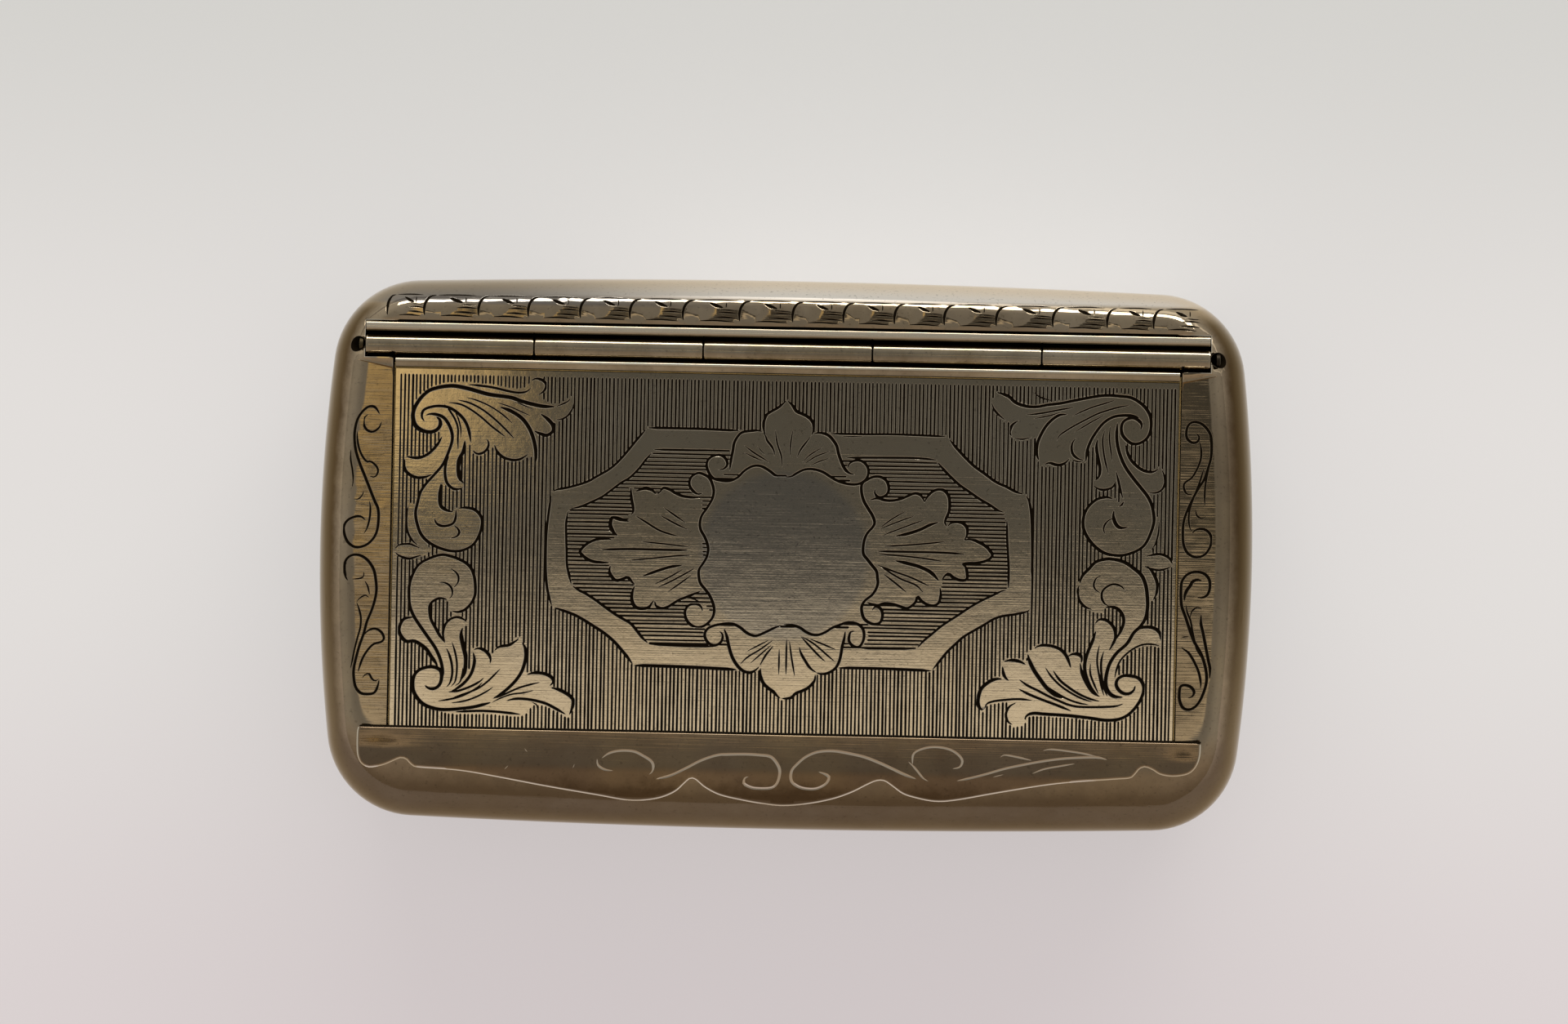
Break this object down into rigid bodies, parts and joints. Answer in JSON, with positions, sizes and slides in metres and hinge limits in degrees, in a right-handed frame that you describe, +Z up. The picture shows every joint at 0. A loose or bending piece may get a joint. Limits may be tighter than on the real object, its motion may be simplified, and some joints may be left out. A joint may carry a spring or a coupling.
{
  "type": "snuff box",
  "caption": "Silver snuff box with rounded walls, an engraved flush lid on a long knuckle hinge, and a scalloped thumbpiece.",
  "frame": {"origin": "middle of the flat base", "axes": "+X along the length of the box, +Y towards the hinge, +Z up out of the lid"},
  "size_m": [0.085, 0.05, 0.0175],
  "materials": {
    "tarnished_silver": "old silver with a warm brown tarnish",
    "rubbed_silver": "old silver rubbed bright by handling",
    "gilt_silver": "worn gilding on silver",
    "pin_metal": "dull drawn wire"
  },
  "bodies": {
    "case": {"lower_case": "tarnished_silver", "upper_case": "tarnished_silver", "aperture_ledge": "gilt_silver", "hinge_bearer": "rubbed_silver", "left_case_tube": "rubbed_silver", "middle_case_tube": "rubbed_silver", "right_case_tube": "rubbed_silver", "hinge_pin": "pin_metal", "left_pin_plug": "pin_metal", "right_pin_plug": "pin_metal"},
    "lid": {"left_lid_tube": "rubbed_silver", "right_lid_tube": "rubbed_silver", "lid_plate": "rubbed_silver", "lid_rib": "rubbed_silver", "lid_bezel": "gilt_silver", "thumbpiece": "tarnished_silver"}
  },
  "joints": [
    {"name": "lid_hinge", "type": "hinge", "parent": "case", "child": "lid", "pos_m": [0, 0.01845, 0.01605], "axis": [-1, 0, 0], "range_deg": [0, 110]}
  ]
}
